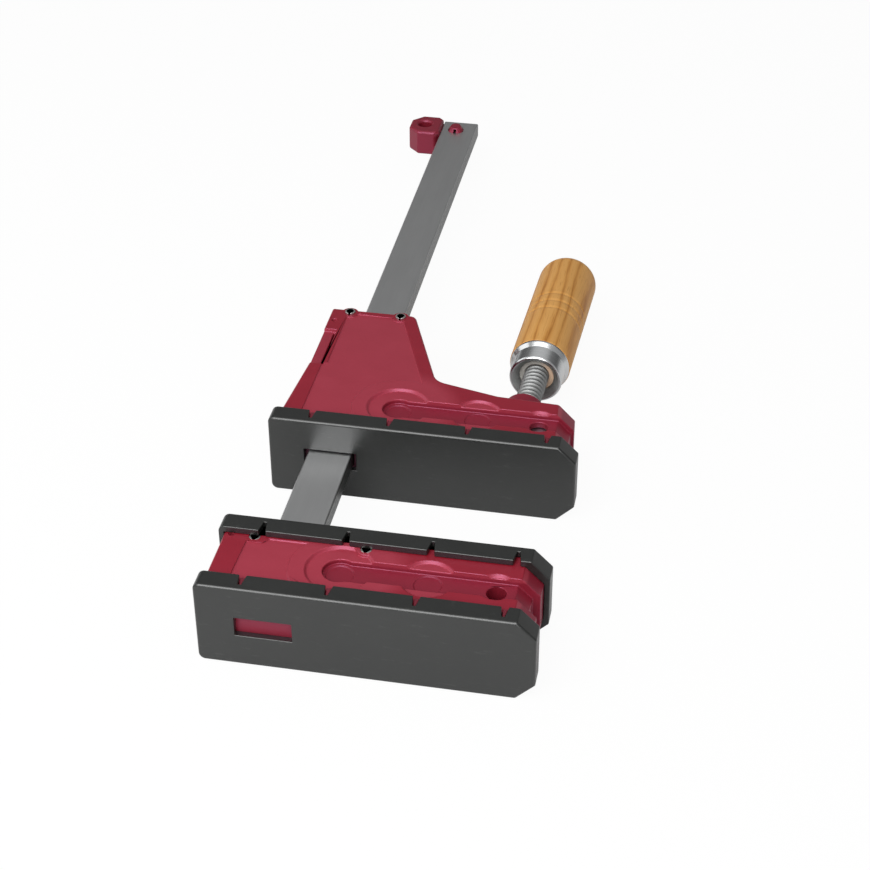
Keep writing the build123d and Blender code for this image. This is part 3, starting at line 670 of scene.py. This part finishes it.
# %% Mouldings, bar and pins
moulding_edge = 0.4 * MM
block_edge = 0.7 * MM
bar_edge = 0.25 * MM
pin_zone = 4.0 * MM
pin_nodes = ["spine_roll_pin", "throat_roll_pin", "spine_guide_pin", "throat_guide_pin"]
pin_corners = [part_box(node) for node in pin_nodes]
pin_places = [(Vector(low) + Vector(high)) / 2 for low, high in pin_corners]


def off_pins(middle):
    """Whether a place is well away from the four cross pins."""
    return all((middle - place).to_2d().length > pin_zone for place in pin_places)


for node in ("fixed_jaw_body", "jaw_housing"):
    piece = merged_copy(node, node + "_rounded")
    round_edges(piece, moulding_edge, 2, off_pins)
    finished(piece, node)

stop = merged_copy("end_stop", "end_stop_rounded")
block_side = bar_low[0] - block_edge
mounts = {mount["name"]: mount for mount in frame["record"]["mounts"]}
hang_hole = Vector(mounts["hang_hole"]["pos_m"])
hole_zone = 5.0 * MM
round_edges(stop, block_edge, 3,
            lambda middle: middle.x < block_side and (middle - hang_hole).to_2d().length > hole_zone)
round_edges(stop, moulding_edge, 2, lambda middle: middle.x < block_side)
finished(stop, "end_stop")

for node in ["bar"] + pin_nodes:
    piece = merged_copy(node, node + "_rounded")
    round_edges(piece, bar_edge, 2, lambda middle: True)
    finished(piece, node)

# %% [markdown]
# The spindle has a coarse rolled thread. Its section over one pitch is drawn beside the centre line, and a
# Screw modifier carries it round and along. The long worm that comes out is cut square at both ends and
# closed. The plain journal in front and the tang in the wood are turned as the CAD has them.

# %% Threaded spindle
pitch = 3.0 * MM
thread_start = 0.4 * MM
tang_radius = 5.0 * MM
tang_length = 55.0 * MM
thread_end = spindle_end - tang_length
thread_steps = 40
crest = thread_radius
crest_round = 0.25 * MM
root = thread_radius - thread_depth


def thread_section(start):
    """One pitch of the thread: radius and share of the pitch at root, flank, rounded crest and flank."""
    shape = [(root, 0.0), (root, 0.12), (crest - crest_round, 0.33), (crest, 0.40),
             (crest, 0.56), (crest - crest_round, 0.63), (root, 0.84), (root, 1.0)]
    return [at(radius, start + share * pitch) for radius, share in shape]


def threaded_rod(name, start, end):
    """A thread between two distances, closed at both ends."""
    turns = math.ceil((end - start) / pitch) + 2
    piece = drawn_line(name, thread_section(start - pitch))
    bpy.ops.object.mode_set(mode="OBJECT")
    axis_turn = spindle_way.to_track_quat("Z", "Y").to_matrix().to_4x4()
    local = Matrix.Translation(seat) @ axis_turn
    piece.data.transform(local.inverted())
    screw = piece.modifiers.new("thread", "SCREW")
    screw.screw_offset = pitch
    screw.iterations = turns
    screw.steps = thread_steps
    screw.render_steps = thread_steps
    screw.use_merge_vertices = True
    screw.merge_threshold = merge_distance
    screw.use_smooth_shade = True
    take(piece)
    bpy.ops.object.modifier_apply(modifier=screw.name)
    piece.data.transform(local)
    edit(piece)
    bpy.ops.mesh.select_all(action="SELECT")
    bpy.ops.mesh.remove_doubles(threshold=merge_distance)
    for distance, keep_outer in ((start, False), (end, True)):
        bpy.ops.mesh.select_all(action="SELECT")
        bpy.ops.mesh.bisect(plane_co=seat + spindle_way * distance, plane_no=spindle_way,
                            use_fill=True, clear_inner=not keep_outer, clear_outer=keep_outer)
    bpy.ops.mesh.select_all(action="SELECT")
    bpy.ops.mesh.normals_make_consistent(inside=False)
    bpy.ops.object.mode_set(mode="OBJECT")
    take(piece)
    bpy.ops.object.shade_smooth_by_angle(angle=smooth_angle)
    print(name, len(piece.data.polygons), "faces,", turns, "turns")
    return piece


def joined(name, pieces):
    """Several meshes as one piece."""
    bpy.ops.object.select_all(action="DESELECT")
    for piece in pieces:
        piece.select_set(True)
    bpy.context.view_layer.objects.active = pieces[0]
    bpy.ops.object.join()
    pieces[0].name = name
    return pieces[0]


journal_radius = 4.0 * MM
journal_edge = 0.5 * MM
clip_root = 3.3 * MM
clip_from = -4.4 * MM
web_from = -3.2 * MM
journal_section = [
    (0.0, spindle_front), (journal_radius - journal_edge, spindle_front),
    (journal_radius, spindle_front + journal_edge), (journal_radius, clip_from),
    (clip_root, clip_from), (clip_root, web_from), (journal_radius, web_from),
    (journal_radius, thread_start), (0.0, thread_start),
]
tang_section = [(0.0, thread_end), (tang_radius, thread_end), (tang_radius, spindle_end), (0.0, spindle_end)]
spindle = joined("threaded_spindle", [
    threaded_rod("thread", thread_start, thread_end),
    turned("journal", journal_section),
    turned("tang", tang_section),
])
stand_for(spindle, "spindle", finishes["spindle_steel"])

# %% [markdown]
# The ferrule is a turned steel cap. Its narrow front bevel catches the light as a bright ring. The band
# behind it is straight, and its tail flares out to the wood's own thickness, which catches the light
# again. Its face is dished, and the wood's sawn end shows in the hole round the spindle.

# %% Ferrule
band = 12.8 * MM
lip = 12.1 * MM
lip_width = 0.8 * MM
front_bevel = 0.9 * MM
flare = 1.9 * MM
land = 0.9 * MM
dish = 3.0 * MM
hole = 8.4 * MM
wall = 1.1 * MM
soft = 0.2 * MM
inside = band - wall
ferrule_section = [
    (lip - 0.5 * soft, ferrule_front),
    (lip + soft, ferrule_front + soft),
    (band - soft, ferrule_front + front_bevel - soft),
    (band, ferrule_front + front_bevel + soft),
    (band, ferrule_end - land - flare - soft),
    (band + soft, ferrule_end - land - flare + soft),
    (ferrule_radius - soft, ferrule_end - land - soft),
    (ferrule_radius, ferrule_end - land + soft),
    (ferrule_radius, ferrule_end),
    (inside, ferrule_end),
    (inside, ferrule_front + dish + wall),
    (hole, ferrule_front + dish + wall),
    (hole, ferrule_front + dish + soft),
    (hole + soft, ferrule_front + dish),
    (lip - lip_width - soft, ferrule_front + soft),
    (lip - lip_width + 0.5 * soft, ferrule_front),
]
ferrule = turned("ferrule_cap", ferrule_section)
stand_for(ferrule, "ferrule", finishes["ferrule_steel"])

# %% [markdown]
# The handle is a plain round stick with three shallow ring grooves and a rounded end. Its grooves are
# curves in the section, and its end is an arc of a dozen points.

# %% Handle
fit = 0.1 * MM
neck_radius = inside - fit
bore = thread_radius + fit
tang_bore = tang_radius + fit
tang_step = thread_end + fit
tang_bottom = spindle_end + fit
shoulder = ferrule_end + fit
shoulder_round = 0.3 * MM
end_round = 8.5 * MM
groove_first = 31.0 * MM
groove_pitch = 6.8 * MM
groove_half = 1.8 * MM
groove_depth = 0.35 * MM
groove_steps = 8
groove_count = 3


def arc(radius, distance, size, first, last, count):
    """Points of a quarter round in the section."""
    angles = [math.radians(first + (last - first) * step / count) for step in range(count + 1)]
    return [(radius + size * math.cos(angle), distance + size * math.sin(angle)) for angle in angles]


def groove(distance):
    """A shallow groove with soft lips."""
    shares = [step / groove_steps for step in range(-groove_steps, groove_steps + 1)]
    depths = [groove_depth * math.cos(share * math.pi / 2) ** 2 for share in shares]
    return [(handle_radius - depth, distance + share * groove_half) for share, depth in zip(shares, depths)]


handle_section = [(bore, handle_front), (neck_radius, handle_front), (neck_radius, shoulder)]
handle_section += arc(handle_radius - shoulder_round, shoulder + shoulder_round, shoulder_round, -90, 0, 5)
for count in range(groove_count):
    handle_section += groove(shoulder + groove_first + count * groove_pitch)
handle_section += arc(handle_radius - end_round, handle_end - end_round, end_round, 0, 90, 14)
handle_section += [(0.0, handle_end), (0.0, tang_bottom), (tang_bore, tang_bottom)]
handle_section += [(tang_bore, tang_step), (bore, tang_step)]
handle = turned("wooden_handle", handle_section)
stand_for(handle, "handle", finishes["varnished_wood"])

# %% [markdown]
# The stage is a white table under a white sky. The camera sees plain white. Gloss sees a studio instead: a
# wall that is bright low down, dark in the middle and bright again towards the ceiling, a plain grey room
# behind the camera, and a dark table. They give the polished ferrule, the bar and the tops of the pads
# their depth. A bright box in front and above draws the lines on the edges. A soft lamp stands there too,
# and a weak one on the left keeps the far sides open.

# %% Floor
object_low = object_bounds()[0]
floor_gap = 0.1 * MM
floor_height = object_low[2] - floor_gap
floor_size = 12.0
floor_white = 0.93
seen_white = 0.95
gloss_white = 0.15
bpy.ops.object.select_all(action="DESELECT")
bpy.ops.mesh.primitive_plane_add(size=floor_size, location=(0, 0, floor_height))
floor = bpy.context.object
floor.name = "floor"
floor_paint = new_paint("floor")
seen = floor_paint.seen_by("Camera") + floor_paint.seen_by("Transmission")
shown_white = floor_paint.node("ShaderNodeEmission", {}, {"Color": grey(1.0), "Strength": 1.0})
table = floor_paint.node("ShaderNodeBsdfDiffuse", {}, {"Color": grey(floor_white)})
share = seen * seen_white + floor_paint.seen_by("Glossy") * gloss_white
floor_mix = floor_paint.node("ShaderNodeMixShader", {}, {0: share, 1: table, 2: shown_white})
floor_paint.node("ShaderNodeOutputMaterial", {}, {"Surface": floor_mix})
floor.data.materials.append(floor_paint.owner)
print("floor at", round(floor_height / MM, 1), "mm")

# %% Sky
sky_level = 0.34
room_level = 0.45
box_level = 3.0
box_way = (-0.1, -0.58, 0.80)
wall_levels = [(0.05, 0.60), (0.16, 0.22), (0.30, 0.12), (0.66, 0.22), (0.82, 0.65), (1.0, 0.80)]
sky = bpy.data.worlds.new("studio")
bpy.context.scene.world = sky
sky_paint = Paint(sky)
direction = sky_paint.node("ShaderNodeTexCoord", {}, {}, "Generated")
way = sky_paint.node("ShaderNodeSeparateXYZ", {}, {0: direction})
wall = sky_paint.ramp(way.output(2), [(height, grey(level)) for height, level in wall_levels])
facing_front = sky_paint.fade(way.output(1), 0.15, -0.25)
both_ways = {0: direction, 1: box_way}
to_box = sky_paint.node("ShaderNodeVectorMath", {"operation": "DOT_PRODUCT"}, both_ways, "Value")
box = sky_paint.fade(to_box, 0.80, 0.92)
room = wall + (room_level - wall) * facing_front + box * box_level
plain = sky_paint.seen_by("Camera") + sky_paint.seen_by("Transmission")
glossy = sky_paint.seen_by("Glossy")
strength = plain + (1.0 - plain) * (room * glossy + (1.0 - glossy) * sky_level)
background = sky_paint.node("ShaderNodeBackground", {}, {"Color": grey(1.0), "Strength": strength})
sky_paint.node("ShaderNodeOutputWorld", {}, {"Surface": background})
print("sky", sky_level, "for matt surfaces, and a box of", box_level, "for gloss")

# %% Lamps
clamp_middle = Vector((0.0, 0.12, 0.0))


def soft_lamp(name, way, size, power):
    """A square area lamp one metre from the clamp's middle, in a given direction."""
    data = bpy.data.lights.new(name, "AREA")
    data.shape = "SQUARE"
    data.size = size
    data.energy = power
    lamp = bpy.data.objects.new(name, data)
    lamp.location = clamp_middle + Vector(way).normalized()
    lamp.rotation_euler = (-Vector(way)).to_track_quat("-Z", "Y").to_euler()
    bpy.context.scene.collection.objects.link(lamp)
    print(name, power, "W")


soft_lamp("front_box", (-0.15, -0.70, 0.72), 0.9, 9.2)
soft_lamp("left_box", (-0.85, 0.05, 0.5), 0.6, 1.5)

# %% [markdown]
# The camera was found from the photograph by fitting the clamp's corners. It stands in front, looks down
# by about 36 degrees and is turned 11 degrees to the left.

# %% Camera
sensor_mm = 36.0
lens_mm = 80.51
stand = Matrix.Translation((0.14043, -0.61824, 0.52129))
heading = math.radians(10.977)
look_down = math.radians(35.537)
tilt = math.radians(-0.2726)
camera_data = bpy.data.cameras.new("camera")
camera_data.sensor_width = sensor_mm
camera_data.lens = lens_mm
camera_data.clip_start = 0.01
camera = bpy.data.objects.new("camera", camera_data)
turn = Matrix.Rotation(heading, 4, "Z") @ Matrix.Rotation(math.pi / 2 - look_down, 4, "X")
camera.matrix_world = stand @ turn @ Matrix.Rotation(tilt, 4, "Z")
bpy.context.scene.collection.objects.link(camera)
bpy.context.scene.camera = camera
bpy.context.scene.view_settings.view_transform = "Standard"
print("camera with a lens of", lens_mm, "mm")
